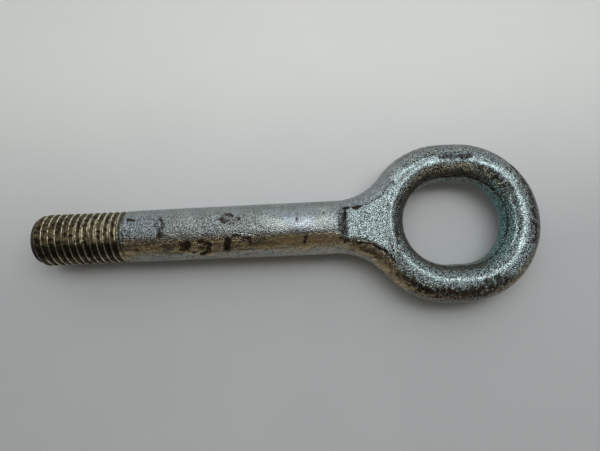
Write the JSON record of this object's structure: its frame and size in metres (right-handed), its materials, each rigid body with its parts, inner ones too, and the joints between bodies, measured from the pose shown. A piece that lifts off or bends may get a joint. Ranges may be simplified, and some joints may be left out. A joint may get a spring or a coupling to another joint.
{
  "type": "tow eye",
  "caption": "Forged and zinc-plated tow eye: a round steel bar with an oval closed eye at one end and a coarse right-hand screw thread at the other.",
  "frame": {"origin": "middle of the eye's opening, half way through its thickness", "axes": "+X along the bar away from the thread, +Z through the eye's opening, +Y across the eye"},
  "size_m": [0.194, 0.063, 0.0212],
  "materials": {
    "zinc_plated_steel": "dull zinc plating with rust specks and dirt"
  },
  "bodies": {
    "root": {"tow_eye": "zinc_plated_steel"}
  },
  "joints": []
}
